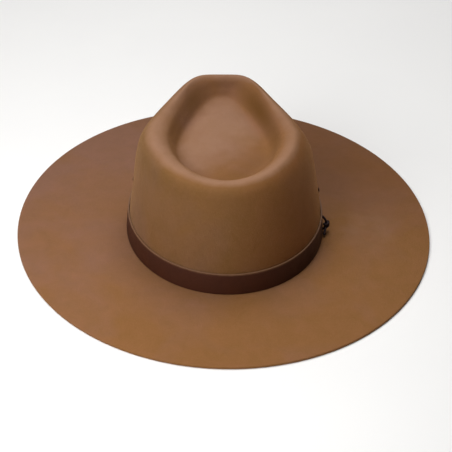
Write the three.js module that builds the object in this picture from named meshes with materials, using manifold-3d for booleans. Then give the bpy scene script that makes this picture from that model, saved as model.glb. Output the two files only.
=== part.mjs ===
// A wide-brimmed felt fedora with a teardrop crown, in millimetres.
// +Z is up, +Y is the front of the hat, +X is the wearer's right.
// The origin is the middle of the brim's underside, which is flat and is what the hat rests on.
// Crown and brim are one piece of felt. A leather band sits round the foot of the crown,
// tied by a knotted lace, and a small vent eyelet goes through each side of the crown.

import * as THREE from "three";
import { mergeVertices } from "three/addons/utils/BufferGeometryUtils.js";
import Module from "manifold-3d";

const wasm = await Module();
wasm.setup();

const brim_width = 364; // side to side
const brim_length = 393; // front to back
const head_width = 170; // crown outside, where it meets the brim
const head_length = 201.8;
const crown_height = 108.2; // underside of the brim to the highest point
const felt_thickness = 2.4;
const edge_chamfer = 0.4; // softening of the brim's cut edge

const band_height = 19.6;
const band_thickness = 1.4;
const band_chamfer = 0.3;
const wall_above_band = 2; // the crown's wall stays straight this far above the band

const lace_thickness = 2.2;
const lace_end_length = 4; // each free end of the lace
const knot_turns = 1.5; // windings of the knot
const knot_pitch = 1.1; // rise of a winding, as a share of the lace's thickness
const knot_winding = 1.6; // from the knot's middle to the winding, as a share of the lace's radius
const knot_drop = 1.4; // middle of the winding, below the middle of the band
const knot_angle = -6; // degrees round the head from the wearer's right towards the front
const lace_hole_spacing = 13; // between the two holes in the band

const eyelet_flange = 3.8; // diameter
const eyelet_flange_thickness = 1.1;
const eyelet_barrel = 2.6; // diameter
const eyelet_bore = 1.3; // diameter
const eyelet_height = 42;
const eyelet_angle_right = -1; // degrees, as knot_angle
const eyelet_angle_left = 172;

const clearance = 0.3; // between two pieces that touch on the real hat

// How finely the surfaces are divided.
const columns = 72; // round the head
const steps_between_rows = 2;
const fold_steps = 3;
const brim_shares = [0, 0.3, 0.65, 1]; // rings across the brim, from the crown to the edge
const outline_samples = 1440;

const half_head = head_width / 2;
const half_head_length = head_length / 2;
const straight_top = felt_thickness + clearance + band_height + wall_above_band;
const upper_crown = crown_height - straight_top;

// The crown's outlines, from its foot up over the rim and down into the dent.
// half and lean are shares of half_head: half the outline's width, and how far its middle lies
// to the wearer's right. widest, front and back are shares of half_head_length: where along the hat
// the outline is widest, and how far it reaches to the front and to the back. blunt squares
// the front off below 1, and taper is the share of the width that the front loses. side_height,
// front_height and back_height are above the straight part of the wall, as shares of upper_crown.
const crown_rows = [
  { name: "foot", half: 1.0, widest: -0.056, front: 0.963, back: 1.037, blunt: 1, taper: 0,
    lean: 0.007 },
  { name: "above band", half: 0.981, widest: -0.056, front: 0.946, back: 1.023, blunt: 1, taper: 0,
    lean: 0.007, side_height: 0, front_height: 0, back_height: 0 },
  { name: "low wall", half: 0.948, widest: -0.056, front: 0.922, back: 1.007, blunt: 0.98, taper: 0.05,
    lean: 0.004, side_height: 0.223, front_height: 0.259, back_height: 0.211 },
  { name: "middle wall", half: 0.915, widest: -0.06, front: 0.9, back: 0.987, blunt: 0.84, taper: 0.17,
    lean: -0.005, side_height: 0.473, front_height: 0.545, back_height: 0.437 },
  { name: "high wall", half: 0.871, widest: -0.07, front: 0.872, back: 0.961, blunt: 0.62, taper: 0.31,
    lean: -0.016, side_height: 0.712, front_height: 0.783, back_height: 0.652 },
  { name: "shoulder", half: 0.807, widest: -0.09, front: 0.828, back: 0.912, blunt: 0.45, taper: 0.375,
    lean: -0.033, side_height: 0.866, front_height: 0.932, back_height: 0.813 },
  { name: "rim", half: 0.712, widest: -0.119, front: 0.763, back: 0.837, blunt: 0.36, taper: 0.45,
    lean: -0.031, side_height: 0.944, front_height: 1, back_height: 0.882 },
  { name: "lip of the dent", half: 0.576, widest: -0.119, front: 0.72, back: 0.765, blunt: 0.48, taper: 0.25,
    lean: -0.02, side_height: 0.905, front_height: 0.965, back_height: 0.862 },
  { name: "wall of the dent", half: 0.512, widest: -0.11, front: 0.69, back: 0.71, blunt: 0.62, taper: 0.34,
    lean: -0.025, side_height: 0.8, front_height: 0.87, back_height: 0.78 },
  { name: "edge of its floor", half: 0.45, widest: -0.1, front: 0.65, back: 0.634, blunt: 0.8, taper: 0.42,
    lean: -0.033, side_height: 0.722, front_height: 0.79, back_height: 0.712 },
  { name: "its floor", half: 0.282, widest: -0.07, front: 0.39, back: 0.377, blunt: 0.9, taper: 0.3,
    lean: -0.03, side_height: 0.728, front_height: 0.758, back_height: 0.722 },
  { name: "middle of the floor", half: 0.106, widest: -0.04, front: 0.12, back: 0.159, blunt: 1, taper: 0.1,
    lean: -0.024, side_height: 0.738, front_height: 0.74, back_height: 0.736 },
];

const rim_row = crown_rows.findIndex((row) => row.name === "rim");

// Shallow hollows that the fingers leave in the front of the crown. round is the share of the way
// round the head, from the wearer's right to the front and on, and wide is a share of that way.
// height and high are shares of upper_crown, and depth is a share of half_head.
const pinches = [
  { name: "right pinch", round: 0.15, wide: 0.06, height: 0.57, high: 0.26, depth: 0.059 },
  { name: "left pinch", round: 0.35, wide: 0.06, height: 0.57, high: 0.26, depth: 0.059 },
];

const up = new THREE.Vector3(0, 0, 1);

// One point of an outline, at an angle round the head: 0 is the wearer's right, and a quarter
// turn is the front.
function outlinePoint(row, angle) {
  const across = Math.cos(angle);
  const along = Math.sin(angle);
  const toFront = Math.max(along, 0);
  const bluntness = 1 + (row.blunt - 1) * toFront * toFront * (3 - 2 * toFront);
  const width = row.half * half_head * (1 - row.taper * toFront ** 1.3);
  const reach = along > 0 ? row.front - row.widest : row.back + row.widest;
  const point = new THREE.Vector3(
    width * Math.sign(across) * Math.abs(across) ** bluntness + row.lean * half_head,
    (row.widest + reach * along) * half_head_length,
    felt_thickness,
  );
  if ("side_height" in row) {
    const end_height = along > 0 ? row.front_height : row.back_height;
    const share = row.side_height + (end_height - row.side_height) * along * along;
    point.z = straight_top + share * upper_crown;
  }
  return point;
}

// A whole outline, as points that lie equally far apart along it.
function evenOutline(row) {
  const samples = [];
  const lengths = [0];
  for (let i = 0; i <= outline_samples; i += 1) {
    samples.push(outlinePoint(row, (i / outline_samples) * 2 * Math.PI));
    if (i > 0) lengths.push(lengths[i - 1] + samples[i].distanceTo(samples[i - 1]));
  }
  const ring = [];
  let next = 1;
  for (let column = 0; column < columns; column += 1) {
    const wanted = (column / columns) * lengths[outline_samples];
    while (lengths[next] < wanted) next += 1;
    const share = (wanted - lengths[next - 1]) / (lengths[next] - lengths[next - 1]);
    ring.push(samples[next - 1].clone().lerp(samples[next], share));
  }
  return ring;
}

// A point on the smooth curve through four points, between the second and the third.
function smoothPoint(points, share) {
  const knots = [0];
  for (let i = 1; i < 4; i += 1) {
    knots.push(knots[i - 1] + Math.sqrt(Math.max(points[i].distanceTo(points[i - 1]), 1e-6)));
  }
  const at = knots[1] + (knots[2] - knots[1]) * share;
  const mix = (a, b, from, to) => a.clone().lerp(b, (at - from) / (to - from));
  const first = [0, 1, 2].map((i) => mix(points[i], points[i + 1], knots[i], knots[i + 1]));
  const second = [0, 1].map((i) => mix(first[i], first[i + 1], knots[i], knots[i + 2]));
  return mix(second[0], second[1], knots[1], knots[2]);
}

// The crown's outer surface: rings from the foot to the middle of the dent, and the middle point.
function crownSurface() {
  const outlines = crown_rows.map(evenOutline);
  const last = outlines[outlines.length - 1];
  const middle = last.reduce((sum, p) => sum.add(p), new THREE.Vector3()).divideScalar(columns);
  const rows = [...outlines, last.map(() => middle)];
  const beyond = last.map((_, column) => last[(column + columns / 2) % columns]);
  const rings = [rows[0]];
  for (let row = 1; row < rows.length - 1; row += 1) {
    const after = row + 2 < rows.length ? rows[row + 2] : beyond;
    for (let step = 0; step < steps_between_rows; step += 1) {
      rings.push(rows[row].map((point, column) => smoothPoint(
        [rows[row - 1][column], point, rows[row + 1][column], after[column]],
        step / steps_between_rows,
      )));
    }
  }
  return { rings, middle };
}

// The outward direction at every point of a surface made of rings.
function surfaceNormals(rings, middle) {
  return rings.map((ring, row) => ring.map((_, column) => {
    const right = ring[(column + 1) % columns];
    const left = ring[(column + columns - 1) % columns];
    const above = row + 1 < rings.length ? rings[row + 1][column] : middle;
    const below = rings[Math.max(row - 1, 0)][column];
    const around = right.clone().sub(left);
    return around.cross(above.clone().sub(below)).normalize();
  }));
}

// Points and triangles of a body whose skin is a row of rings between two end points.
function skinBetweenPoints(start, rings, end) {
  const positions = [start, ...rings.flat(), end].flatMap((p) => p.toArray());
  const triangles = [];
  const last = 1 + rings.length * columns;
  for (let column = 0; column < columns; column += 1) {
    const next = (column + 1) % columns;
    triangles.push(0, 1 + column, 1 + next);
    for (let row = 0; row < rings.length - 1; row += 1) {
      const a = 1 + row * columns + column;
      const b = 1 + row * columns + next;
      triangles.push(a, a + columns, b, b, a + columns, b + columns);
    }
    const base = last - columns;
    triangles.push(base + column, last, base + next);
  }
  return closedGeometry(positions, triangles);
}

// Points and triangles of a body whose skin is a closed loop of rings.
function skinOfLoop(rings) {
  const positions = rings.flat().flatMap((p) => p.toArray());
  const triangles = [];
  for (let row = 0; row < rings.length; row += 1) {
    const nextRow = (row + 1) % rings.length;
    for (let column = 0; column < columns; column += 1) {
      const next = (column + 1) % columns;
      const a = row * columns + column;
      const b = row * columns + next;
      const c = nextRow * columns + column;
      const d = nextRow * columns + next;
      triangles.push(a, c, b, b, c, d);
    }
  }
  return closedGeometry(positions, triangles);
}

function closedGeometry(positions, triangles) {
  const geometry = new THREE.BufferGeometry();
  geometry.setAttribute("position", new THREE.Float32BufferAttribute(positions, 3));
  geometry.setIndex(triangles);
  return geometry;
}

function toSolid(geometry) {
  const bare = geometry.clone();
  bare.deleteAttribute("normal");
  bare.deleteAttribute("uv");
  const merged = mergeVertices(bare, 1e-4);
  return new wasm.Manifold(new wasm.Mesh({
    numProp: 3,
    vertProperties: new Float32Array(merged.attributes.position.array),
    triVerts: new Uint32Array(merged.index.array),
  }));
}

function toGeometry(solid) {
  const mesh = solid.getMesh();
  return closedGeometry(Array.from(mesh.vertProperties), Array.from(mesh.triVerts));
}

// How far the pinches push a point of the outside inwards.
function pinchDepth(column, height) {
  const level = (height - straight_top) / upper_crown;
  return pinches.reduce((sum, pinch) => {
    const across = (column / columns - pinch.round) / pinch.wide;
    const above = (level - pinch.height) / pinch.high;
    return sum + pinch.depth * half_head * Math.exp(-across * across - above * above);
  }, 0);
}

const crown = crownSurface();
const unpinched_normals = surfaceNormals(crown.rings, crown.middle);
const rim_ring = (rim_row - 1) * steps_between_rows + 1;
crown.rings = crown.rings.map((ring, row) => ring.map((point, column) => {
  const pinched = row > 1 && row <= rim_ring;
  const depth = pinched ? pinchDepth(column, point.z) : 0;
  return point.clone().addScaledVector(unpinched_normals[row][column], -depth);
}));
const crown_normals = surfaceNormals(crown.rings, crown.middle);

// Where something sits on the crown's outside: the point and the directions out, up and round.
// The angle is in degrees round the head, and the height is above the brim's underside.
function placeOnCrown(degrees, height) {
  const turn = ((degrees / 360) % 1 + 1) % 1;
  const column = turn * columns;
  const left = Math.floor(column) % columns;
  const right = (left + 1) % columns;
  const share = column - Math.floor(column);
  const between = (rows, row) => rows[row][left].clone().lerp(rows[row][right], share);
  let row = 1;
  while (row < crown.rings.length - 1 && between(crown.rings, row).z < height) row += 1;
  const lower = between(crown.rings, row - 1);
  const upper = between(crown.rings, row);
  const point = lower.clone().lerp(upper, (height - lower.z) / (upper.z - lower.z));
  const round = crown.rings[row][right].clone().sub(crown.rings[row][left]).normalize();
  const out = round.clone().cross(upper.clone().sub(lower)).normalize();
  return { point, out, rise: out.clone().cross(round).normalize(), round };
}

// A ring of the brim, between the crown's foot and the brim's edge.
function brimRing(share, height, inset) {
  return crown.rings[0].map((foot) => {
    const bearing = Math.atan2(foot.y / brim_length, foot.x / brim_width);
    const edge = new THREE.Vector3(
      (brim_width / 2 - inset) * Math.cos(bearing),
      (brim_length / 2 - inset) * Math.sin(bearing),
      height,
    );
    return new THREE.Vector3(foot.x, foot.y, height).lerp(edge, share);
  });
}

const inner_rings = crown.rings.map((ring, row) => ring.map((point, column) => (
  point.clone().addScaledVector(crown_normals[row][column], -felt_thickness)
)));
const inner_middle = crown.middle.clone().addScaledVector(up, -felt_thickness);

// The felt turns from wall to brim round the crease at the crown's foot.
const fold_rings = [];
for (let step = fold_steps - 1; step > 0; step -= 1) {
  const turn = (step / fold_steps) * (Math.PI / 2);
  fold_rings.push(crown.rings[0].map((crease, column) => (
    crease.clone()
      .addScaledVector(crown_normals[0][column], -felt_thickness * Math.cos(turn))
      .addScaledVector(up, -felt_thickness * Math.sin(turn))
  )));
}

const felt_rings = [
  ...crown.rings.slice().reverse(),
  ...brim_shares.slice(1).map((share) => brimRing(share, felt_thickness, edge_chamfer * share)),
  brimRing(1, felt_thickness - edge_chamfer, 0),
  brimRing(1, edge_chamfer, 0),
  ...brim_shares.slice().reverse().map((share) => brimRing(share, 0, edge_chamfer * share)),
  ...fold_rings,
  ...inner_rings,
];

// A turned piece: a profile of [distance from the axis, distance out of the crown's surface].
function turned(profile, segments, place) {
  const closed = [...profile, profile[0]];
  const lathe = new THREE.LatheGeometry(closed.map(([r, h]) => new THREE.Vector2(r, h)), segments);
  const frame = new THREE.Matrix4().makeBasis(place.round, place.out, place.rise.clone().negate());
  frame.setPosition(place.point);
  return lathe.applyMatrix4(frame);
}

const eyelet_hole_radius = eyelet_barrel / 2 + clearance;
const hole_reach = felt_thickness + 2 * clearance;

function eyeletHole(place) {
  return toSolid(turned([
    [0, -2 * hole_reach],
    [eyelet_hole_radius, -2 * hole_reach],
    [eyelet_hole_radius, hole_reach],
    [0, hole_reach],
  ], 12, place));
}

function eyelet(place) {
  const barrel = eyelet_barrel / 2;
  const flange = eyelet_flange / 2;
  const bore = eyelet_bore / 2;
  const inside = -felt_thickness - clearance;
  const roll = eyelet_flange_thickness / 2;
  return turned([
    [bore, inside - roll],
    [flange, inside - roll],
    [flange, inside],
    [barrel, inside],
    [barrel, clearance],
    [flange, clearance],
    [flange, clearance + roll],
    [(flange + bore) / 2, clearance + eyelet_flange_thickness],
    [bore, clearance + roll],
  ], 12, place);
}

const eyelet_right = placeOnCrown(eyelet_angle_right, eyelet_height);
const eyelet_left = placeOnCrown(eyelet_angle_left, eyelet_height);

const felt = toSolid(skinBetweenPoints(crown.middle, felt_rings, inner_middle))
  .subtract(eyeletHole(eyelet_right))
  .subtract(eyeletHole(eyelet_left));

// A ring beside the straight part of the crown's wall, at a height and a distance from it.
const outward = crown_normals[0].map((normal) => new THREE.Vector3(normal.x, normal.y, 0).normalize());
function bandRing(distance, height) {
  const share = (height - felt_thickness) / (straight_top - felt_thickness);
  return crown.rings[0].map((foot, column) => (
    foot.clone().lerp(crown.rings[1][column], share).addScaledVector(outward[column], distance)
  ));
}

const band_bottom = felt_thickness + clearance;
const band_top = band_bottom + band_height;
const band_inside = clearance;
const band_outside = clearance + band_thickness;
const band_solid = toSolid(skinOfLoop([
  bandRing(band_inside, band_bottom),
  bandRing(band_inside, band_top),
  bandRing(band_outside - band_chamfer, band_top),
  bandRing(band_outside, band_top - band_chamfer),
  bandRing(band_outside, band_bottom + band_chamfer),
  bandRing(band_outside - band_chamfer, band_bottom),
]));

const lace_radius = lace_thickness / 2;
const band_middle = (band_bottom + band_top) / 2;
const knot_place = placeOnCrown(knot_angle, band_middle);
knot_place.out = new THREE.Vector3(knot_place.out.x, knot_place.out.y, 0).normalize();
knot_place.rise = up;
knot_place.round = up.clone().cross(knot_place.out);

// A point by the knot: distance out from the band's face, height from the band's middle, and
// distance round the head towards the front.
function byKnot(out, rise, round) {
  const slope = (rise / (straight_top - felt_thickness)) * (1 - crown_rows[1].half) * half_head;
  return knot_place.point.clone()
    .addScaledVector(knot_place.out, band_outside + out - slope)
    .addScaledVector(up, rise)
    .addScaledVector(knot_place.round, round);
}

// A length of lace along points by the knot, with flat ends.
function lace(points, radius, steps) {
  const along = points.map(([out, rise, round]) => byKnot(out, rise, round));
  const path = new THREE.CatmullRomCurve3(along, false, "centripetal");
  const section = new THREE.Shape(new THREE.Path().absarc(0, 0, radius, 0, 2 * Math.PI).getPoints(4));
  return toSolid(new THREE.ExtrudeGeometry(section, { steps, extrudePath: path }));
}

// The knot is one length of lace that runs from hole to hole, and another that is wound round it
// and ends in two short tails.
const hole_rise = lace_hole_spacing / 2;
const on_face = clearance + lace_radius; // middle of a lace that lies on the band
const stub = clearance - band_thickness; // a lace end inside its hole, clear of the felt
const winding = knot_winding * lace_radius;
const knot_out = winding + lace_radius + clearance; // middle of the knot
const knot_rise = knot_turns * knot_pitch * lace_thickness;

const held_down = [
  [stub, hole_rise, 0],
  [on_face / 5, hole_rise, 0],
  [on_face, 0.8 * hole_rise, 0],
  [knot_out, 0.3 * hole_rise, 0],
];
const held_up = held_down.map(([out, rise, round]) => [out, -rise, round]).reverse();
const core = [...held_down, ...held_up];

const wound_bottom = -0.5 * knot_rise - knot_drop;
const wound = [];
for (let i = 0; i <= knot_turns * 12; i += 1) {
  const turn = (i / 12 - 0.25) * 2 * Math.PI;
  const rise = wound_bottom + (i / (knot_turns * 12)) * knot_rise;
  wound.push([knot_out + winding * Math.cos(turn), rise, winding * Math.sin(turn)]);
}
const wound_top = wound_bottom + knot_rise;
const reach = winding + lace_radius;
const tail_back = [
  [on_face, wound_bottom - 1.2 * lace_end_length, -reach - 1.2 * lace_end_length],
  [0.7 * knot_out, wound_bottom - 0.4 * lace_end_length, -reach - 0.3 * lace_end_length],
];
const tail_front = [
  [knot_out + 0.6 * reach, wound_top - 0.2 * lace_end_length, 1.1 * reach],
  [knot_out + 0.7 * reach, wound_top - 0.8 * lace_end_length, 1.2 * reach],
  [knot_out + 0.65 * reach, wound_top - 1.4 * lace_end_length, 1.0 * reach],
];

// The tails are a little thinner than the winding, so that their inner ends lie inside it.
const tail_radius = 0.95 * lace_radius;
const knot_solid = [
  lace(core, lace_radius, 12),
  lace(wound, lace_radius, 30),
  lace([...tail_back, ...wound.slice(0, 3)], tail_radius, 6),
  lace([...wound.slice(-3), ...tail_front], tail_radius, 8),
].reduce((all, length) => all.add(length));

// Pockets are closed in between the windings, and only the skin round the whole knot is kept.
const knot_skin = knot_solid.decompose().reduce((a, b) => (a.volume() > b.volume() ? a : b));

function laceHole(rise) {
  const through = [[-2 * band_thickness, rise, 0], [band_thickness, rise, 0]];
  return lace(through, lace_radius + clearance, 1);
}

const band_pierced = band_solid.subtract(laceHole(hole_rise)).subtract(laceHole(-hole_rise));

function piece(name, geometry, color, roughness, metalness) {
  const material = new THREE.MeshStandardMaterial({ color, roughness, metalness });
  const mesh = new THREE.Mesh(geometry, material);
  mesh.name = name;
  return mesh;
}

const hat = new THREE.Group();
hat.add(
  piece("felt_body", toGeometry(felt), 0x8f674e, 0.95, 0),
  piece("leather_band", toGeometry(band_pierced), 0x40241a, 0.6, 0),
  piece("band_knot", toGeometry(knot_skin), 0x17101a, 0.6, 0),
  piece("vent_eyelet_right", eyelet(eyelet_right), 0x2a1a12, 0.5, 0.6),
  piece("vent_eyelet_left", eyelet(eyelet_left), 0x2a1a12, 0.5, 0.6),
);

export default hat;
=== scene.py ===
# %% [markdown]
# # A wide-brimmed felt fedora
# The hat is one piece of wool felt that was steamed over a block: a flat stiff brim, a tall crown,
# and a teardrop dent pressed into the top. A strip of brown leather goes round the foot of the
# crown and is tied with a dark lace, and a small vent eyelet sits in each side of the crown.
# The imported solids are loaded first: the felt's box gives the width and length of the brim and the
# height of the crown. The other sizes are the model's own, written again where they are first needed.

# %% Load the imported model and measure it
import math

import bpy
import numpy as np
from mathutils import Matrix, Vector


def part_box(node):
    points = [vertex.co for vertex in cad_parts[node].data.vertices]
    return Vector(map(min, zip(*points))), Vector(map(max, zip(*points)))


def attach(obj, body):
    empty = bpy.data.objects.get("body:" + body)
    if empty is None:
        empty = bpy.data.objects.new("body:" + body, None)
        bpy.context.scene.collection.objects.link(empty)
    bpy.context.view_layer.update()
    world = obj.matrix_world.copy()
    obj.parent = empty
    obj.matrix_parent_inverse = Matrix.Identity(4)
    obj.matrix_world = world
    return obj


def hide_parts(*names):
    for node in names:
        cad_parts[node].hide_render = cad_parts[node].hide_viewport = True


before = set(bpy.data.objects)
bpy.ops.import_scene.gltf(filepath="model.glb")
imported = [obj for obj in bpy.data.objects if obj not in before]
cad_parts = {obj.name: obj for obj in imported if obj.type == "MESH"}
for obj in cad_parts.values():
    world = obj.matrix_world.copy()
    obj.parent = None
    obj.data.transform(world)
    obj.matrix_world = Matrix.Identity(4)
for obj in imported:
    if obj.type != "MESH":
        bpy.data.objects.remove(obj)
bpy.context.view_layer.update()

mm = 0.001
felt_low, felt_high = (np.array(corner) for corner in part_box("felt_body"))
brim_width, brim_length, crown_height = felt_high - felt_low
print("brim", round(brim_width / mm), "by", round(brim_length / mm), "mm")
print("crown", round(crown_height / mm, 1), "mm high")

# %% [markdown]
# ## The camera
# The hat is seen from behind and above. The brim is flat, so its outline in the picture is the
# picture of an ellipse, and its height against its width gives how far the camera looks down.
# A long lens keeps the far edge of the brim nearly as wide as the near edge.

# %% Place the camera
look_down = math.radians(35.16)
look_round = math.radians(-2)
camera_roll = math.radians(1.58)
camera_distance = 1.2
aim = Vector((2.0, 0, -2.8)) * mm

to_camera = Vector((
    math.sin(look_round) * math.cos(look_down),
    -math.cos(look_round) * math.cos(look_down),
    math.sin(look_down),
))
level_right = (-to_camera).cross(Vector((0, 0, 1))).normalized()
level_up = level_right.cross(-to_camera)
camera_right = level_right * math.cos(camera_roll) + level_up * math.sin(camera_roll)
camera_up = level_up * math.cos(camera_roll) - level_right * math.sin(camera_roll)

lens = bpy.data.cameras.new("long_lens")
lens.sensor_width = 36
lens.lens = 107.04
lens.clip_end = 20
camera = bpy.data.objects.new("camera", lens)
bpy.context.scene.collection.objects.link(camera)
placing = Matrix((camera_right, camera_up, to_camera)).transposed().to_4x4()
placing.translation = aim + to_camera * camera_distance
camera.matrix_world = placing
bpy.context.scene.camera = camera
print("camera", round(math.degrees(look_down), 1), "degrees above the hat, lens", lens.lens, "mm")

# %% [markdown]
# ## The table and the light
# A pale table and four soft lights, as in a small photo studio. The strongest hangs high, a
# little beyond the hat. Two stand to the left of the camera, so the crown throws a broad soft
# shadow to the right, and its top, which is nearer to them, is brighter than the brim; painted
# light and shade in the felt's colour add to both. The last is low and far, and skims the felt's
# fibres. The room is black: what faces away gets only what the table and the brim throw back, so
# the shaded wall is a deep brown, which painted shade in the felt's colour deepens.

# %% Lay the table and hang the lights
crown_middle = Vector((0, 0, 50)) * mm
half_table = 6


def add_light(name, bearing, elevation, distance, size, power):
    """A square soft light, turned towards the crown. Its place is a bearing round the hat and an
    elevation above the table, both in degrees, and a distance in metres."""
    turn, rise = math.radians(bearing), math.radians(elevation)
    lamp = bpy.data.lights.new(name, "AREA")
    lamp.size = size
    lamp.energy = power
    light = bpy.data.objects.new(name, lamp)
    level = math.cos(rise)
    light.location = Vector((level * math.cos(turn), level * math.sin(turn), math.sin(rise))) * distance
    light.rotation_euler = (crown_middle - light.location).to_track_quat("-Z", "Y").to_euler()
    bpy.context.scene.collection.objects.link(light)


# a bearing of 0 is the wearer's right, and 90 is beyond the hat
#    name             bearing  elevation  distance  size  power in watts
lights = [
    ("over_the_hat",    90,      77,        1.6,    1.0,  19),
    ("near_left",      221,      48,        0.8,    0.5,   3),
    ("by_the_camera",  240,      30,        0.8,    0.5,   2),
    ("low_far",         90,      35,        1.6,    0.8,   3),
]
for row in lights:
    add_light(*row)

room = bpy.data.worlds.new("room")
bpy.context.scene.world = room
room.use_nodes = True
room.node_tree.nodes["Background"].inputs["Color"].default_value = (0, 0, 0, 1)
bpy.context.scene.view_settings.view_transform = "Standard"

table_corners = [(x * half_table, y * half_table, 0) for x, y in ((-1, -1), (1, -1), (1, 1), (-1, 1))]
table_mesh = bpy.data.meshes.new("table")
table_mesh.from_pydata(table_corners, [], [(0, 1, 2, 3)])
table = bpy.data.objects.new("table", table_mesh)
bpy.context.scene.collection.objects.link(table)
print(len(lights), "lights and a table")

# %% [markdown]
# ## From arrays to meshes
# Each piece is a grid of points: rows that go up or along the piece, and columns that go all the
# way round it. Neighbouring points make four-sided faces. A piece such as the felt starts and
# ends in a single point, the middle of the dent outside and inside, and a piece such as the
# leather band closes on itself in both directions.

# %% A helper that turns a grid of points into a piece
def ring_faces(rows, columns, joined):
    """Four-sided faces between each row and the next. joined also closes the last row to the first."""
    row, column = np.meshgrid(np.arange(rows if joined else rows - 1), np.arange(columns), indexing="ij")
    after = (column + 1) % columns
    above = (row + 1) % rows
    corners = [row * columns + column, above * columns + column,
               above * columns + after, row * columns + after]
    return np.stack(corners, -1).reshape(-1, 4)


def add_values(piece, name, values):
    """One number a point, which the materials read by its name."""
    piece.data.attributes.new(name, "FLOAT", "POINT").data.foreach_set("value", values.astype(np.float32))


def make_piece(name, grids, replaces):
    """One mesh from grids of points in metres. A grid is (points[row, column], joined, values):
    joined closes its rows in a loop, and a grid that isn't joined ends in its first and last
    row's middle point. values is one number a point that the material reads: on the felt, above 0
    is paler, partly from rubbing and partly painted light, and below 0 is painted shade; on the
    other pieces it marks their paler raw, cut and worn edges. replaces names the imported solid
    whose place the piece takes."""
    points, faces, wear = [], [], []
    start = 0
    for grid, joined, values in grids:
        rows, columns = grid.shape[:2]
        points.append(grid.reshape(-1, 3))
        wear.append(np.broadcast_to(values, (rows, columns)).reshape(-1))
        faces += (ring_faces(rows, columns, joined) + start).tolist()
        if not joined:
            for end, row in ((0, 0), (1, rows - 1)):
                points.append(grid[row].mean(0, keepdims=True))
                wear.append(np.broadcast_to(values, (rows, columns))[row, :1])
                tip = start + rows * columns + end
                rim = start + row * columns + np.arange(columns)
                fan = [np.full(columns, tip), rim, np.roll(rim, -1)]
                if end:
                    fan = [fan[0], fan[2], fan[1]]
                faces += np.stack(fan, -1).tolist()
        start = sum(len(part) for part in points)
    mesh = bpy.data.meshes.new(name)
    mesh.from_pydata(np.concatenate(points).tolist(), [], faces)
    mesh.shade_smooth()
    piece = bpy.data.objects.new(name, mesh)
    add_values(piece, "wear", np.concatenate(wear))
    bpy.context.scene.collection.objects.link(piece)
    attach(piece, "root")
    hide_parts(replaces)
    print(name, len(faces), "faces")
    return piece


# %% [markdown]
# ## The crown
# A hatter's block is turned from wood, then the dent is pressed in by hand. The shape here is a
# stack of outlines: the foot of the crown, the wall, the rim, and on down into the dent. Each row
# of the table is one outline: its half width, where it is widest, how far it reaches to the front
# and the back, how square and how narrow the front is, how it leans to one side, and its height at
# the side, front and back. A smooth curve joins the same point of each outline.

# %% The outlines of the crown
felt_thickness = 2.4 * mm
clearance = 0.3 * mm
band_height = 19.6 * mm
straight_past_band = 2 * mm
straight_top = felt_thickness + clearance + band_height + straight_past_band
half_head = 85 * mm
half_head_length = 100.9 * mm
upper_crown = crown_height - straight_top

around = 288
steps = 8

# half and lean are shares of half_head, widest, front and back of half_head_length, and the
# heights are shares of upper_crown above the straight part of the wall
#   half   widest  front  back   blunt  taper  lean    side   front  back
crown_rows = [
    (1.000, -0.056, 0.963, 1.037, 1.00, 0.00,  0.007, None,  None,  None),   # foot
    (0.981, -0.056, 0.946, 1.023, 1.00, 0.00,  0.007, 0.000, 0.000, 0.000),  # above the band
    (0.948, -0.056, 0.922, 1.007, 0.98, 0.05,  0.004, 0.223, 0.259, 0.211),  # low wall
    (0.915, -0.060, 0.900, 0.987, 0.84, 0.17, -0.005, 0.473, 0.545, 0.437),  # middle wall
    (0.871, -0.070, 0.872, 0.961, 0.62, 0.31, -0.016, 0.712, 0.783, 0.652),  # high wall
    (0.807, -0.090, 0.828, 0.912, 0.45, 0.375, -0.033, 0.866, 0.932, 0.813),  # shoulder
    (0.712, -0.119, 0.763, 0.837, 0.36, 0.45, -0.031, 0.944, 1.000, 0.882),  # rim
    (0.576, -0.119, 0.720, 0.765, 0.48, 0.25, -0.020, 0.905, 0.965, 0.862),  # lip of the dent
    (0.512, -0.110, 0.690, 0.710, 0.62, 0.34, -0.025, 0.800, 0.870, 0.780),  # wall of the dent
    (0.450, -0.100, 0.650, 0.634, 0.80, 0.42, -0.033, 0.722, 0.790, 0.712),  # edge of its floor
    (0.282, -0.070, 0.390, 0.377, 0.90, 0.30, -0.030, 0.728, 0.758, 0.722),  # its floor
    (0.106, -0.040, 0.120, 0.159, 1.00, 0.10, -0.024, 0.738, 0.740, 0.736),  # middle of the floor
]
rim_row = 6


def outline(row, turn):
    """An outline at an array of turns round the head, 0 at the wearer's right and a quarter at the
    front. Across it is a cosine to a power, which squares the front off, times a taper. Along it
    is a sine, with one reach to the front and another to the back."""
    half, widest, front, back, blunt, taper, lean, side_height, front_height, back_height = row
    across, along = np.cos(turn), np.sin(turn)
    to_front = np.clip(along, 0, 1)
    power = 1 + (blunt - 1) * to_front**2 * (3 - 2 * to_front)
    width = half * half_head * (1 - taper * to_front**1.3)
    x = width * np.sign(across) * np.abs(across) ** power + lean * half_head
    y = (widest + np.where(along > 0, front - widest, back + widest) * along) * half_head_length
    if side_height is None:
        z = np.full_like(turn, felt_thickness)
    else:
        end_height = np.where(along > 0, front_height, back_height)
        z = straight_top + (side_height + (end_height - side_height) * along**2) * upper_crown
    return np.stack([x, y, z], -1)


def even_outline(row):
    """The outline as points that lie equally far apart along it."""
    fine = outline(row, np.linspace(0, 2 * np.pi, 20 * around + 1))
    length = np.concatenate([[0], np.cumsum(np.linalg.norm(np.diff(fine, axis=0), axis=1))])
    wanted = np.arange(around) / around * length[-1]
    return np.stack([np.interp(wanted, length, fine[:, axis]) for axis in range(3)], -1)


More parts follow.
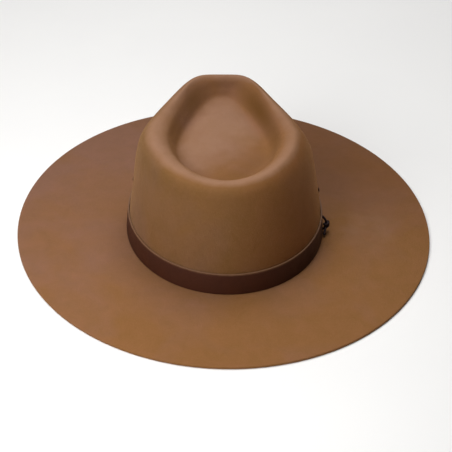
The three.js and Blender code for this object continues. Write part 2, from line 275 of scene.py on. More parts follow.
def smooth_between(before, start, end, after, share):
    """Points of the smooth curve through four rows, between the second and the third: a mix of
    mixes, with knots set by the square root of the distance, so that it never loops. A nanometre
    more a gap keeps two equal points from a division by 0."""
    nanometre = 1e-9
    gap = [np.sqrt(np.linalg.norm(b - a, axis=-1, keepdims=True) + nanometre) for a, b in
           ((before, start), (start, end), (end, after))]
    knot = [0 * gap[0], gap[0], gap[0] + gap[1], gap[0] + gap[1] + gap[2]]
    at = knot[1] + gap[1] * share

    def mix(a, b, first, last):
        return a + (b - a) * (at - knot[first]) / (knot[last] - knot[first])

    one, two, three = mix(before, start, 0, 1), mix(start, end, 1, 2), mix(end, after, 2, 3)
    return mix(mix(one, two, 0, 2), mix(two, three, 1, 3), 1, 2)


def crown_surface():
    """Rows of points from the foot of the crown over the rim and down to the middle of the dent."""
    rows = [even_outline(row) for row in crown_rows]
    middle = np.broadcast_to(rows[-1].mean(0), rows[-1].shape)
    beyond = np.roll(rows[-1], around // 2, axis=0)
    rows += [middle, beyond]
    share = np.linspace(0, 1, steps, endpoint=False)[:, None, None]
    surface = [rows[0] + (rows[1] - rows[0]) * share]
    for number in range(1, len(rows) - 2):
        surface.append(smooth_between(*rows[number - 1:number + 3], share))
    return np.concatenate(surface)


crown = crown_surface()
print("crown of", crown.shape[0], "rows and", crown.shape[1], "columns")

# %% [markdown]
# ## Pinches and hand shaping
# Where the fingers take the hat at the front, the felt has two shallow hollows. And felt that was
# shaped by hand is never as true as a machined part: its surface wanders by a fraction of a
# millimetre, which is what breaks up the light on the wall. Both push the points along their normals.

# %% Push in the pinches and let the surface wander
def normals_of(surface):
    """The outward direction at each point: across the row's direction and the column's."""
    round_way = np.roll(surface, -1, axis=1) - np.roll(surface, 1, axis=1)
    up_way = np.gradient(surface, axis=0)
    out = np.cross(round_way, up_way)
    return out / np.linalg.norm(out, axis=-1, keepdims=True)


# where and how wide, as shares of the way round, at what height and how high, as shares of the
# upper crown, and how deep, as a share of half_head
pinches = [
    (0.15, 0.06, 0.57, 0.26, 0.059),
    (0.35, 0.06, 0.57, 0.26, 0.059),
]

column_share = np.arange(around) / around
level = (crown[..., 2] - straight_top) / upper_crown
row_number = np.arange(len(crown))[:, None] / steps
push = np.zeros(crown.shape[:2])
for round_share, wide, height, high, depth in pinches:
    bump = np.exp(-((column_share - round_share) / wide) ** 2 - ((level - height) / high) ** 2)
    push -= depth * half_head * bump * (row_number <= rim_row) * (row_number >= 1)

# two slow waves across each other and a shorter one, which begin above the band
wander_depth = 0.11 * mm
x, y, z = np.moveaxis(crown / mm, -1, 0)
wander = (np.sin(x / 17 + y / 29 + 1.0) * np.sin(y / 21 - z / 16)
          + 0.6 * np.sin(x / 9.1 - y / 12.7 + z / 11 + 2))
above_band = np.clip(level * 6, 0, 1)
push += wander_depth * wander * above_band
crown = crown + normals_of(crown) * push[..., None]
crown_normals = normals_of(crown)
print("pinched by", round(-push.min() / mm, 1), "mm")

# %% [markdown]
# ## The felt
# Crown and brim are one piece, so the wall bends into the brim round a crease that the
# band hides. The felt is 2.4 mm thick: the inside is the outside moved back along its normals.
# The brim's edge is cut and left raw, with its two corners only just rounded.

# %% Crown, brim and inside as one closed surface
foot = crown[0]
bearing = np.arctan2(foot[:, 1] / brim_length, foot[:, 0] / brim_width)


def brim_rows(share, height, inset):
    """Rows of the brim: between the foot of the crown and an ellipse that is inset from the brim's
    edge, at each share of the way across, with a height and an inset a row."""
    share, height, inset = (np.asarray(value)[:, None, None]
                            for value in np.broadcast_arrays(share, height, inset))
    edge = np.concatenate([
        (brim_width / 2 - inset) * np.cos(bearing)[None, :, None],
        (brim_length / 2 - inset) * np.sin(bearing)[None, :, None],
    ], -1)
    flat = foot[None, :, :2] * (1 - share) + edge * share
    return np.concatenate([flat, np.broadcast_to(height, flat.shape[:2] + (1,))], -1)


edge_radius = 0.7 * mm
across_brim = np.linspace(0, 1, 41)[1:-1]
corner = np.radians(np.linspace(90, -90, 15))
from_face = edge_radius * (1 - np.sin(np.abs(corner)))
edge_height = np.where(corner > 0, felt_thickness - from_face, from_face)
edge_inset = edge_radius * (1 - np.cos(corner))
brim_top = brim_rows(across_brim, felt_thickness, edge_radius * across_brim)
brim_edge = brim_rows(1, edge_height, edge_inset)
brim_under = brim_rows(across_brim[::-1], 0, edge_radius * across_brim[::-1])

turn = np.radians(np.linspace(0, 90, 7))[:, None, None]
crease = (foot - crown_normals[0] * felt_thickness * np.sin(turn)
          - np.array([0, 0, felt_thickness]) * np.cos(turn))
inside = crown - crown_normals * felt_thickness

felt_grid = np.concatenate([crown[::-1], brim_top, brim_edge, brim_under, crease, inside[1:]])
print("felt of", len(felt_grid), "rows, from the dent over the brim's edge to the dent's inside")

# %% [markdown]
# ## Rubbed felt, and painted light and shade on it
# Felt goes pale with rubbing. On this hat the rim of the crown is pale, partly from rubbing and
# partly a painted highlight, and the floor of the dent is pale with painted light. The walls of
# the dent and the shoulders of the crown are darkened with painted shade. On the brim there is
# painted shade by the crown's left foot, a painted shadow of the crown at its front right, and a
# patch of painted light on its right. Two numbers at each point say so to the material. The first
# is above 0 where the felt is pale and below 0 where it is dark. The second, "wall", is 0.5 on the
# wall of the crown, up to 1 on its left shoulder, and 0 elsewhere, and darkens the wall with
# painted shade. Both were set to follow the picture, so they hold painted light and shade that the
# four lights don't give.

# %% Two numbers at each point of the felt
degrees_round = column_share * 360


def towards(centre, width):
    """1 at a bearing round the head in degrees, falling off smoothly over a width to both sides."""
    away_from = (degrees_round - centre + 180) % 360 - 180
    return np.exp(-(away_from / width) ** 2)


def varied(even, *places):
    """An even strength round the head, with more or less of it towards some bearings. A place is
    (bearing, width, amount), with the first two in degrees."""
    return sum((amount * towards(centre, width) for centre, width, amount in places), even)


def near_row(row, height):
    """1 on a row of the crown's table, falling off smoothly over some rows above and below it."""
    return np.exp(-((row_number - row) / height) ** 2)


# places on the crown, in rows of its table
crest_past_rim = 0.15
shoulder_row = 4.7
wall_end = 6.1
dent_wall_row = 7.85
floor_start = 8.6

# the crest is a pale line along the rim, partly from rubbing and partly a painted highlight, which
# reaches further into the dent than down the wall
past_crest = row_number - rim_row - crest_past_rim
outside_width = 0.45 + 0.25 * np.cos(np.radians(degrees_round)) ** 2
inside_width = varied(0.75, (270, 40, 0.12), (195, 30, 0.12))
crest_rub_and_highlight = np.exp(-(past_crest / np.where(past_crest < 0, outside_width, inside_width)) ** 2)
crest_rub_and_highlight = crest_rub_and_highlight * varied(0.97, (10, 35, -0.25), (265, 45, 0.15))

# painted light on the floor of the dent: palest at its front left, and darker towards the back and the right
floor_light_share = 0.85 + crown[..., 1] / (50 * mm) - crown[..., 0] / (48 * mm)
floor_painted_light = np.clip(row_number - floor_start, 0, 1) * np.clip(floor_light_share, -0.4, 1)

# painted shade: the walls of the dent and the shoulders are darker
dent_shade_sides = varied(0, (50, 34, 1), (132, 22, 0.68), (352, 28, 0.55), (270, 40, 0.2), (97, 14, -0.35))
dent_wall_shade = near_row(dent_wall_row, 0.85) * dent_shade_sides
shoulder = varied(0.22, (205, 45, -0.08)) * near_row(shoulder_row, 0.7)
crown_light_and_rub = np.where(row_number > floor_start, floor_painted_light, crest_rub_and_highlight) - dent_wall_shade - shoulder

# painted light and shade on the top of the brim: shade by the crown's left foot, the crown's
# shadow at the front right, and a lit patch on the right. Each is where across it and over how
# much, bearing, width, amount
brim_light_places = [
    (0.0, 0.25, 192, 42, -0.25),
    (0.0, 0.60,  42, 28, -0.22),
    (0.4, 0.30,   2, 16,  0.30),
]
across = across_brim[:, None]
brim_painted_light = sum(amount * np.exp(-((across - middle) / reach) ** 2) * towards(centre, width)
               for middle, reach, centre, width, amount in brim_light_places)

unseen = np.zeros((len(felt_grid) - len(crown) - len(brim_top), around))
felt_light_and_rub = np.concatenate([crown_light_and_rub[::-1], brim_painted_light, unseen])
felt = make_piece("felt_hat", [(felt_grid, False, felt_light_and_rub)], "felt_body")

# painted shade on the crown's wall, darkest on its left shoulder
# the last two points are the middles of the dent's two faces, which are not on the wall
left_shoulder_shade = near_row(shoulder_row, 1.0) * towards(205, 45)
crown_wall_shade = 0.5 * np.clip(wall_end - row_number, 0, 1) * (1 + left_shoulder_shade)
on_wall = np.concatenate([crown_wall_shade[::-1], 0 * brim_painted_light, unseen])
add_values(felt, "wall", np.append(on_wall, [0, 0]))
print("wear from", round(felt_light_and_rub.min(), 2), "to", round(felt_light_and_rub.max(), 2))

# %% [markdown]
# ## The leather band
# A strip of leather, 19.6 mm wide and 1.4 mm thick, lies round the foot of the crown. Its section
# is a rectangle with slightly rounded corners, carried round the wall. Its edges are cut and not
# dyed, so a thin paler line runs along the top. The hand that cut it wavered a little, and the
# band stands off the felt by a hair.

# %% Carry the band's section round the crown
band_thickness = 1.4 * mm
band_bottom = felt_thickness + clearance
band_corner = 0.35 * mm
raw_edge = 0.7 * mm
raw_fade = 0.5 * mm


def rounded_section(thickness, height, radius):
    """A closed section: four quarter circles at the corners of a rectangle, and points along its
    two long sides. Returns distances from the inner face and heights from the bottom."""
    quarter = np.radians(np.linspace(0, 90, 5))
    side = np.linspace(radius, height - radius, 12)[1:-1]
    parts = [
        (thickness - radius + radius * np.cos(quarter), height - radius + radius * np.sin(quarter)),
        (radius - radius * np.sin(quarter), height - radius + radius * np.cos(quarter)),
        (0 * side, side[::-1]),
        (radius - radius * np.cos(quarter), radius - radius * np.sin(quarter)),
        (thickness - radius + radius * np.sin(quarter), radius - radius * np.cos(quarter)),
        (0 * side + thickness, side),
    ]
    return np.concatenate([p[0] for p in parts]), np.concatenate([p[1] for p in parts])


wall_out = crown_normals[0] * [1, 1, 0]
wall_out = wall_out / np.linalg.norm(wall_out, axis=-1, keepdims=True)
wall_foot, wall_head = even_outline(crown_rows[0]), even_outline(crown_rows[1])


def beside_wall(distance, height):
    """Points at a distance out from the crown's straight wall and a height above the table."""
    share = (height - felt_thickness) / (straight_top - felt_thickness)
    on_wall = wall_foot * (1 - share[..., None]) + wall_head * share[..., None]
    return on_wall + wall_out * distance[..., None]


def band_grid():
    """The section at every column. Slow waves round the head, in mm, vary its top and its stand-off."""
    distance, height = rounded_section(band_thickness, band_height, band_corner)
    angle = column_share * 2 * np.pi
    cut = 0.10 * np.sin(3 * angle + 1) + 0.06 * np.sin(7 * angle + 2.2)
    stand = 0.05 * (1 + np.sin(5 * angle + 0.4))
    up = height[:, None] / band_height
    grid = beside_wall(
        clearance + distance[:, None] + stand[None] * mm,
        band_bottom + height[:, None] + (cut * up) * mm,
    )
    near_top = np.clip((height[:, None] - (band_height - raw_edge)) / raw_fade, 0, 1)
    return grid[::-1], True, near_top[::-1]


band = make_piece("hat_band", [band_grid()], "leather_band")

# %% [markdown]
# ## The lace knot
# The band is tied on the wearer's right. A lace comes out of a hole near the band's top, runs down
# to a hole near its bottom, and its two ends are wound round it and pulled tight: a barrel knot. So
# it is two lengths of lace: a straight one, and one that winds round it and ends in two short tails.
# Each is a round section carried along a path. The path is worked out from the knot's own middle:
# how far out from the band, how far up, and how far round the head.

# %% Two lengths of lace
lace_radius = 1.1 * mm
lace_sides = 20
flattened = 0.12
end_rounding = 0.35 * mm
cut_length = 0.5 * mm
knot_share = (-6 / 360) % 1
winding = 1.6 * lace_radius
knot_out = winding + lace_radius + clearance

knot_column = knot_share * around
left = int(knot_column)
blend = knot_column - left
band_middle = band_bottom + band_height / 2
middle_share = (band_middle - felt_thickness) / (straight_top - felt_thickness)
wall_middle = wall_foot * (1 - middle_share) + wall_head * middle_share
knot_point = wall_middle[left] * (1 - blend) + wall_middle[(left + 1) % around] * blend
knot_outward = wall_out[left]
knot_round = np.cross([0, 0, 1], knot_outward)
wall_slope = (wall_foot[left] - wall_head[left]) @ knot_outward / (straight_top - felt_thickness)


def by_knot(out, rise, round_way):
    """Points by the knot: out from the band's face, up from its middle, and round towards the front."""
    lift = clearance + band_thickness + out - rise * wall_slope
    return (knot_point + lift[:, None] * knot_outward + rise[:, None] * np.array([0, 0, 1])
            + round_way[:, None] * knot_round)


def smooth_path(points, each=12):
    """A smooth curve through a short list of points, with points added beyond both ends."""
    points = np.array(points, float)
    points = np.concatenate([2 * points[:1] - points[1:2], points, 2 * points[-1:] - points[-2:-1]])
    share = np.linspace(0, 1, each, endpoint=False)[:, None, None]
    curve = smooth_between(points[:-3], points[1:-2], points[2:-1], points[3:], share)
    return np.concatenate([curve.swapaxes(0, 1).reshape(-1, 3), points[-2:-1]])


def lace(path):
    """A round section carried along a path of points by the knot, a little flattened, with cut ends.
    Two directions across the path come from its tangent and the direction away from the knot's axis,
    to which a hundredth of a mm is added for the points that lie on the axis."""
    centre = by_knot(*path.T)
    along = np.gradient(centre, axis=0)
    along /= np.linalg.norm(along, axis=1, keepdims=True)
    axis = by_knot(np.full(len(path), knot_out), path[:, 1], np.zeros(len(path)))
    away = centre - axis + 0.01 * mm * knot_round
    across = np.cross(along, away)
    across /= np.linalg.norm(across, axis=1, keepdims=True)
    away = np.cross(across, along)
    turn = np.arange(lace_sides) / lace_sides * 2 * np.pi
    length = np.concatenate([[0], np.cumsum(np.linalg.norm(np.diff(centre, axis=0), axis=1))])
    from_end = np.minimum(length, length[-1] - length)
    towards_end = 1 - np.clip(from_end / end_rounding, 0, 1)
    radius = lace_radius * np.sqrt(1 - 0.55 * towards_end ** 2)
    radius = radius * (1 + 0.04 * np.sin(length / mm * 1.9) + 0.02 * np.sin(length / mm * 4.3 + 1))
    grid = (centre[:, None]
            + radius[:, None, None] * np.cos(turn)[None, :, None] * across[:, None]
            + radius[:, None, None] * (1 - flattened) * np.sin(turn)[None, :, None] * away[:, None])
    cut_end = np.clip(1 - from_end / cut_length, 0, 1)[:, None]
    return grid, False, cut_end


hole_rise = 6.5 * mm
on_face = lace_radius + clearance
turns = 1.5
points_a_turn = 12
pitch = 1.1 * 2 * lace_radius
knot_rise = turns * pitch
knot_drop = 1.4 * mm
wound_bottom = -0.5 * knot_rise - knot_drop
wound_top = wound_bottom + knot_rise
reach = winding + lace_radius
tail_length = 4 * mm

held_down = np.array([
    (clearance - band_thickness, hole_rise, 0),
    (on_face / 5, hole_rise, 0),
    (on_face, 0.8 * hole_rise, 0),
    (knot_out, 0.3 * hole_rise, 0),
])
core_path = smooth_path(np.concatenate([held_down, held_down[::-1] * [1, -1, 1]]))

step = np.arange(turns * points_a_turn + 1) / points_a_turn
phase = (step - 0.25) * 2 * np.pi
wound = np.stack([
    knot_out + winding * np.cos(phase),
    wound_bottom + step / turns * knot_rise,
    winding * np.sin(phase),
], -1)
tail_back = [
    (on_face, wound_bottom - 1.2 * tail_length, -reach - 1.2 * tail_length),
    (0.7 * knot_out, wound_bottom - 0.4 * tail_length, -reach - 0.3 * tail_length),
]
tail_front = [
    (knot_out + 0.6 * reach, wound_top - 0.2 * tail_length, 1.1 * reach),
    (knot_out + 0.7 * reach, wound_top - 0.8 * tail_length, 1.2 * reach),
    (knot_out + 0.65 * reach, wound_top - 1.4 * tail_length, 1.0 * reach),
]
wound_path = smooth_path(np.concatenate([tail_back, wound, tail_front]), 8)
knot = make_piece("lace_knot", [lace(core_path), lace(wound_path)], "band_knot")

# %% [markdown]
# ## The vent eyelets
# A small turned metal ring is pressed through each side of the crown. Seen close it is a
# rolled flange with a bore in the middle, and the same flange holds it on the inside. The profile
# is turned about an axis that stands out from the felt.

# %% Turn the two eyelets
# three radii, the flange's thin edge, and how far its roll stands out in front and at the back
flange, barrel, bore = 1.9 * mm, 1.3 * mm, 0.65 * mm
flange_edge, front_roll, back_roll = 0.25 * mm, 0.55 * mm, 0.45 * mm
eyelet_sides = 40
eyelet_height = 42 * mm


def place_on_crown(share, height):
    """The point and the outward and round directions of the crown's outside at a share of the way round."""
    column = int(round(share * around)) % around
    heights = crown[: rim_row * steps, column, 2]
    row = int(np.searchsorted(heights, height))
    part = (height - heights[row - 1]) / (heights[row] - heights[row - 1])
    point = crown[row - 1, column] * (1 - part) + crown[row, column] * part
    out = crown_normals[row, column]
    round_way = crown[row, (column + 1) % around] - crown[row, column - 1]
    round_way = round_way / np.linalg.norm(round_way)
    return point, out, round_way


def eyelet_grid(place):
    """A closed profile of distances from the axis and distances out of the felt, turned about the axis."""
    point, out, round_way = place
    roll = np.radians(np.linspace(180, 0, 11))
    middle, half = (flange + bore) / 2, (flange - bore) / 2
    front, back = clearance, -felt_thickness - clearance
    outer = np.stack([middle + half * np.cos(roll), front + flange_edge + front_roll * np.sin(roll)], -1)
    inner = np.stack([middle + half * np.cos(roll[::-1]), back - flange_edge - back_roll * np.sin(roll)], -1)
    through_felt = [[flange, front], [barrel, front], [barrel, back], [flange, back]]
    profile = np.concatenate([outer, through_felt, inner])
    turn = np.arange(eyelet_sides) / eyelet_sides * 2 * np.pi
    rise = np.cross(out, round_way)
    spoke = np.cos(turn)[:, None] * round_way + np.sin(turn)[:, None] * rise
    grid = point + profile[:, 0, None, None] * spoke + profile[:, 1, None, None] * out
    worn = np.zeros(len(profile))
    worn[:len(roll)] = np.sin(roll) ** 4
    return grid, True, worn[:, None]


for side, bearing_round in (("right", -1), ("left", 172)):
    place = place_on_crown(bearing_round / 360 % 1, eyelet_height)
    make_piece("eyelet_" + side, [eyelet_grid(place)], "vent_eyelet_" + side)

# %% [markdown]
# ## Finishes
# Every finish is made of nodes that read the hat's own coordinates in metres, so a pattern keeps
# its real size. The effects are node groups, and most of them serve several finishes: soft
# mottling, fine fibres, leather grain, and worn edges, a group that on the felt also lays painted light.

# %% Helpers for finishes
def colour(red, green, blue):
    """A colour as seen on a screen, 0 to 255 a channel, as the linear light that a shader reads."""
    share = np.array([red, green, blue]) / 255
    linear = np.where(share <= 0.04045, share / 12.92, ((share + 0.055) / 1.055) ** 2.4)
    return (*linear.tolist(), 1)


def feed(tree, socket, value):
    """Link a socket to another socket, or set it to a number or a colour."""
    if isinstance(value, bpy.types.NodeSocket):
        tree.links.new(value, socket)
    else:
        socket.default_value = value


def add_node(tree, kind, **settings):
    """A node of a kind, with its sockets and settings filled in."""
    node = tree.nodes.new(kind)
    for name, value in settings.items():
        if name in node.bl_rna.properties:
            setattr(node, name, value)
        else:
            wanted = name.replace("_", " ").lower()
            feed(tree, next(s for s in node.inputs if s.name.lower() == wanted and s.enabled), value)
    return node


def blend_colours(tree, factor, first, second, way="MIX"):
    """A mix of two colours by a factor; each is a value or a socket. A mix node has sockets for
    numbers and vectors too, and its two colours are numbers 6 and 7, with the result in 2."""
    node = tree.nodes.new("ShaderNodeMix")
    node.data_type = "RGBA"
    node.blend_type = way
    for number, value in ((0, factor), (6, first), (7, second)):
        feed(tree, node.inputs[number], value)
    return node.outputs[2]


def spread(tree, value, low, high, to_low=0.0, to_high=1.0):
    """A value stretched from one range to another and kept inside it."""
    return add_node(tree, "ShaderNodeMapRange", Value=value, From_Min=low, From_Max=high,
                    To_Min=to_low, To_Max=to_high).outputs[0]


def math_node(tree, way, *values):
    """One sum of two or three values; each is a number or a socket."""
    node = tree.nodes.new("ShaderNodeMath")
    node.operation = way
    for socket, value in zip(node.inputs, values):
        feed(tree, socket, value)
    return node.outputs[0]


def new_group(name, output, **inputs):
    """An empty node group with one output, a number. An input is given as its first value, which is
    a number, or as None for a vector. Returns the group, its inputs as seen from within, and the
    socket that takes its result."""
    group = bpy.data.node_groups.new(name, "ShaderNodeTree")
    for socket_name, value in inputs.items():
        kind = "NodeSocketVector" if value is None else "NodeSocketFloat"
        socket = group.interface.new_socket(socket_name, in_out="INPUT", socket_type=kind)
        if value is not None:
            socket.default_value = value
    group.interface.new_socket(output, in_out="OUTPUT", socket_type="NodeSocketFloat")
    given = group.nodes.new("NodeGroupInput").outputs
    return group, given, group.nodes.new("NodeGroupOutput").inputs[0]


# %% Node groups: mottling, fibres, grain, and worn edges and painted light
mottle_group, given, result = new_group("soft_mottling", "Value", Place=None, Scale=30.0, Contrast=1.0)
cloud = add_node(mottle_group, "ShaderNodeTexNoise", Vector=given["Place"], Scale=given["Scale"],
                 Detail=4.0, Roughness=0.55, Distortion=0.6).outputs["Fac"]
centred = math_node(mottle_group, "SUBTRACT", cloud, 0.5)
stretched = math_node(mottle_group, "MULTIPLY", centred, given["Contrast"])
feed(mottle_group, result, math_node(mottle_group, "ADD", stretched, 0.5))

fibre_group, given, result = new_group("matted_fibres", "Value", Place=None, Scale=400.0)
bend = add_node(fibre_group, "ShaderNodeTexNoise", Vector=given["Place"], Scale=220.0, Detail=2.0)
bent = add_node(fibre_group, "ShaderNodeVectorMath", operation="SCALE")
feed(fibre_group, bent.inputs[0], bend.outputs["Color"])
feed(fibre_group, bent.inputs["Scale"], 4 * mm)
layers = []
for stretch in ((1, 5, 5), (5, 1, 5), (5, 5, 1), (4, 4, 1.5)):
    moved = add_node(fibre_group, "ShaderNodeVectorMath", operation="ADD")
    feed(fibre_group, moved.inputs[0], given["Place"])
    feed(fibre_group, moved.inputs[1], bent.outputs[0])
    turned = (0.5 * stretch[0], 0.4 * stretch[1], 0.3 * stretch[2])
    mapped = add_node(fibre_group, "ShaderNodeMapping", Vector=moved.outputs[0],
                      Rotation=turned, Scale=stretch)
    layers.append(add_node(fibre_group, "ShaderNodeTexNoise", Vector=mapped.outputs[0],
                           Scale=given["Scale"], Detail=1.0).outputs["Fac"])
tangle = layers[0]
for layer in layers[1:]:
    tangle = math_node(fibre_group, "MAXIMUM", tangle, layer)
feed(fibre_group, result, spread(fibre_group, tangle, 0.5, 0.85))

grain_group, given, result = new_group("leather_grain", "Value", Place=None, Scale=900.0)
pebbles = add_node(grain_group, "ShaderNodeTexVoronoi", Vector=given["Place"], Scale=given["Scale"],
                   feature="DISTANCE_TO_EDGE").outputs["Distance"]
creases = add_node(grain_group, "ShaderNodeTexNoise", Vector=given["Place"], Scale=given["Scale"],
                   Detail=5.0).outputs["Fac"]
pebbled = spread(grain_group, pebbles, 0.0, 0.25)
feed(grain_group, result, math_node(grain_group, "MULTIPLY", pebbled, creases))

light_and_wear_group, given, result = new_group("worn_edge_and_light", "Mask", Wear=0.0, Place=None, Scale=200.0, Breakup=0.5)
patches = add_node(light_and_wear_group, "ShaderNodeTexNoise", Vector=given["Place"], Scale=given["Scale"],
                   Detail=4.0).outputs["Fac"]
centred = math_node(light_and_wear_group, "SUBTRACT", patches, 0.5)
uneven = math_node(light_and_wear_group, "MULTIPLY", centred, given["Breakup"])
worn = math_node(light_and_wear_group, "ADD", given["Wear"], math_node(light_and_wear_group, "MULTIPLY", uneven, 2.0))
masked = math_node(light_and_wear_group, "MULTIPLY", worn, spread(light_and_wear_group, given["Wear"], 0.02, 0.25))
feed(light_and_wear_group, result, spread(light_and_wear_group, masked, 0.0, 1.0))


def place_group(tree, group, **values):
    """A group placed in a material with its own values."""
    node = tree.nodes.new("ShaderNodeGroup")
    node.node_tree = group
    for name, value in values.items():
        feed(tree, node.inputs[name], value)
    return node.outputs[0]


def new_finish(name, **shader_values):
    """A material with one Principled shader whose even values are set on its own sockets."""
    material = bpy.data.materials.new(name)
    material.use_nodes = True
    shader = material.node_tree.nodes["Principled BSDF"]
    for socket, value in shader_values.items():
        shader.inputs[socket.replace("_", " ")].default_value = value
    place = add_node(material.node_tree, "ShaderNodeTexCoord").outputs["Object"]
    wear = add_node(material.node_tree, "ShaderNodeAttribute", attribute_name="wear").outputs["Fac"]
    return material, material.node_tree, shader, place, wear


def add_relief(tree, shader, *layers):
    """Bumps feeding one another: each layer is (height socket, depth in metres)."""
    normal = None
    for height, depth in layers:
        bump = add_node(tree, "ShaderNodeBump", Height=height, Distance=depth, Strength=1.0)
        if normal:
            tree.links.new(normal, bump.inputs["Normal"])
        normal = bump.outputs["Normal"]
    tree.links.new(normal, shader.inputs["Normal"])


print("node groups:", ", ".join(group.name for group in bpy.data.node_groups))

# %% [markdown]
# ## The felt's finish
# Wool felt is a mat of short fibres. From a distance it is an even warm tan with faint clouds,
# some a little more ochre and some a little more pink, where the dye took differently. Across the
# hat the tan also turns from a paler, greyer pink on the left and front, which is painted sheen, to
# ochre on the right and back. It is matt, but loose fibres catch the light where it grazes the
# surface, which draws a thin pale line along the crown's sides: that is what the shader's sheen is
# for. The wall of the crown is tinted with painted shade, a little more olive on the left and redder
# on the right, and the whole hat has painted light and shade: a little paler at the back and darker
# at the front, with a painted shadow of the crown at the front right.

# %% Wool felt: the dye, a painted sheen and painted shade on the wall
def along_direction(tree, place, direction, reach):
    """0 to 1 across the hat: from reach metres against a direction to reach metres along it."""
    along = add_node(tree, "ShaderNodeVectorMath", operation="DOT_PRODUCT")
    tree.links.new(place, along.inputs[0])
    along.inputs[1].default_value = direction
    return spread(tree, along.outputs["Value"], -reach, reach)


felt_finish, tree, shader, place, wear = new_finish(
    "tan_wool_felt", Roughness=0.95, Specular_IOR_Level=0.2, Sheen_Weight=0.32, Sheen_Roughness=0.38,
    Sheen_Tint=colour(222, 168, 108))
clouds = place_group(tree, mottle_group, Place=place, Scale=16.0, Contrast=1.6)
patches = place_group(tree, mottle_group, Place=place, Scale=70.0, Contrast=1.4)
specks = place_group(tree, mottle_group, Place=place, Scale=420.0, Contrast=1.2)
fibres = place_group(tree, fibre_group, Place=place, Scale=380.0)

# the clouds make the mix uneven, as the dye is; across the hat it also turns from a paler, greyer pink on
# the left and front, which is painted sheen, to ochre on the right, back and top
pink_sheen_tan, ochre_tan = colour(125, 90, 80), colour(125, 83, 38)
dark_blotch, pale_blotch = colour(108, 75, 38), colour(135, 91, 64)
blotch_share = 0.42
up_and_back = along_direction(tree, place, (0.4, -0.92, 0.8), 160 * mm)
ochre = math_node(tree, "MULTIPLY_ADD", math_node(tree, "SUBTRACT", clouds, 0.5), 1.1, up_and_back)
tan = blend_colours(tree, ochre, pink_sheen_tan, ochre_tan)
tan = blend_colours(tree, blotch_share, tan, blend_colours(tree, patches, dark_blotch, pale_blotch))

# painted shade on the crown's wall: tints multiply the dye, one share a channel; darker and more
# olive on the left, darker still on the left shoulder, and redder and deeper on the right
left_wall_shade_tint = (0.85, 0.90, 0.88, 1)
shoulder_shade_tint = (0.72, 0.80, 0.78, 1)
right_wall_shade_tint = (1.04, 0.78, 0.47, 1)
wall = add_node(tree, "ShaderNodeAttribute", attribute_name="wall").outputs["Fac"]
to_right = spread(tree, along_direction(tree, place, (1, 0, 0), 80 * mm), 0.5, 0.95)
left_shade_tint = blend_colours(tree, spread(tree, wall, 0.5, 1.0), left_wall_shade_tint, shoulder_shade_tint)
shade_on_wall_tint = blend_colours(tree, to_right, left_shade_tint, right_wall_shade_tint)
tan = blend_colours(tree, spread(tree, wall, 0.0, 0.5), tan, shade_on_wall_tint, "MULTIPLY")

# %% Wool felt: rubbing, painted light and shade, fibres and the surface
# paler with rubbing and with painted light, and darker with painted shade
pale_rub_and_light_tan, painted_shade_tan = colour(150, 114, 92), colour(97, 62, 24)
speck_tan, fibre_tan = colour(134, 95, 63), colour(144, 105, 72)
most_rub_and_light = 0.7
rub_and_light_mask = place_group(tree, light_and_wear_group, Wear=wear, Place=place, Scale=60.0, Breakup=0.5)
tan = blend_colours(tree, math_node(tree, "MULTIPLY", rub_and_light_mask, most_rub_and_light), tan, pale_rub_and_light_tan)
tan = blend_colours(tree, spread(tree, specks, 0.35, 0.75, 0.0, 0.18), tan, speck_tan)
tan = blend_colours(tree, spread(tree, fibres, 0.2, 0.9, 0.0, 0.22), tan, fibre_tan)
tan = blend_colours(tree, spread(tree, wear, 0.0, -1.0), tan, painted_shade_tan)

# painted light and shade: the whole hat a little paler at the back and darker at the front, and a painted
# shadow of the crown on the brim at its front right
darkest, palest = 0.87, 1.10
crown_shadow_tint = (0.90, 0.83, 0.69, 1)
lit_to_back = along_direction(tree, place, (-0.3, -0.95, 0), 190 * mm)
tan = blend_colours(tree, 1.0, tan, spread(tree, lit_to_back, 0.0, 1.0, darkest, palest), "MULTIPLY")
crown_shadow_mask = spread(tree, along_direction(tree, place, (0.6, 0.8, 0), 200 * mm), 0.68, 0.88)
tan = blend_colours(tree, crown_shadow_mask, tan, crown_shadow_tint, "MULTIPLY")

feed(tree, shader.inputs["Base Color"], tan)
feed(tree, shader.inputs["Roughness"], spread(tree, fibres, 0.0, 1.0, 0.88, 0.98))
add_relief(tree, shader, (patches, 0.4 * mm), (specks, 0.12 * mm), (fibres, 0.12 * mm))
felt.data.materials.append(felt_finish)

# %% [markdown]
# ## The band's leather
# The band is dark brown leather, waxed so that it has a dull shine, with a fine grain whose pores
# are darker still. Its cut top edge shows the undyed middle of the hide.

# %% Dark band leather with a raw top edge
band_finish, tree, shader, place, wear = new_finish(
    "dark_brown_leather", Roughness=0.55, Specular_IOR_Level=0.28)
grain = place_group(tree, grain_group, Place=place, Scale=1100.0)
clouds = place_group(tree, mottle_group, Place=place, Scale=45.0, Contrast=1.5)
brown = blend_colours(tree, clouds, colour(77, 38, 22), colour(65, 30, 14))
pore_brown, raw_hide = colour(36, 15, 8), colour(116, 82, 57)
brown = blend_colours(tree, spread(tree, grain, 0.0, 0.5, 0.35, 0.0), brown, pore_brown)
raw = place_group(tree, light_and_wear_group, Wear=wear, Place=place, Scale=260.0, Breakup=0.25)
brown = blend_colours(tree, raw, brown, raw_hide)
feed(tree, shader.inputs["Base Color"], brown)
feed(tree, shader.inputs["Roughness"], spread(tree, clouds, 0.2, 0.8, 0.48, 0.66))
add_relief(tree, shader, (grain, 0.06 * mm))
band.data.materials.append(band_finish)

# %% [markdown]
# ## The lace's leather
# The lace is nearly black and duller than the band, because thin leather that is knotted and
# handled loses its wax. Only its cut ends show a little of the paler hide.

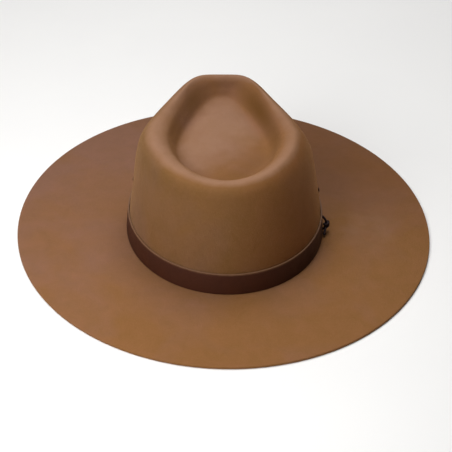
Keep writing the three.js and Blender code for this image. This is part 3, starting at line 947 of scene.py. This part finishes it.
# %% Near-black lace leather
lace_finish, tree, shader, place, wear = new_finish(
    "black_lace_leather", Roughness=0.6, Specular_IOR_Level=0.25)
cut_hide, most_cut = colour(96, 74, 62), 0.5
grain = place_group(tree, grain_group, Place=place, Scale=1900.0)
clouds = place_group(tree, mottle_group, Place=place, Scale=300.0, Contrast=1.6)
black = blend_colours(tree, clouds, colour(31, 17, 21), colour(51, 31, 33))
cut = place_group(tree, light_and_wear_group, Wear=wear, Place=place, Scale=900.0, Breakup=0.3)
black = blend_colours(tree, math_node(tree, "MULTIPLY", cut, most_cut), black, cut_hide)
feed(tree, shader.inputs["Base Color"], black)
feed(tree, shader.inputs["Roughness"], spread(tree, clouds, 0.2, 0.8, 0.5, 0.7))
add_relief(tree, shader, (grain, 0.05 * mm))
knot.data.materials.append(lace_finish)

# %% [markdown]
# ## The eyelets' metal
# The eyelets are painted a dark brown, so they are only partly metallic. The paint is thinnest on
# top of the rolled flange, where a little of the paler metal comes through in patches.

# %% Dark painted metal of the eyelets
metal_finish, tree, shader, place, wear = new_finish(
    "dark_eyelet_metal", Roughness=0.5, Metallic=0.4, Specular_IOR_Level=0.25)
bare_metal, most_bare = colour(120, 92, 66), 0.5
clouds = place_group(tree, mottle_group, Place=place, Scale=900.0, Contrast=1.5)
dark = blend_colours(tree, clouds, colour(52, 26, 10), colour(70, 40, 20))
bare = place_group(tree, light_and_wear_group, Wear=wear, Place=place, Scale=1500.0, Breakup=0.6)
dark = blend_colours(tree, math_node(tree, "MULTIPLY", bare, most_bare), dark, bare_metal)
feed(tree, shader.inputs["Base Color"], dark)
feed(tree, shader.inputs["Roughness"], spread(tree, clouds, 0.2, 0.8, 0.4, 0.65))
add_relief(tree, shader, (clouds, 0.04 * mm))
for side in ("right", "left"):
    bpy.data.objects["eyelet_" + side].data.materials.append(metal_finish)

# %% [markdown]
# ## The table's paint
# The hat lies on a pale, even ground. Two whites that hardly differ keep it from looking like paper
# cut out round the hat.

# %% Pale painted table
table_finish, tree, shader, place, wear = new_finish("pale_table", Roughness=0.8)
clouds = place_group(tree, mottle_group, Place=place, Scale=6.0, Contrast=1.0)
white = blend_colours(tree, clouds, colour(243, 242, 240), colour(238, 237, 236))
feed(tree, shader.inputs["Base Color"], white)
table.data.materials.append(table_finish)
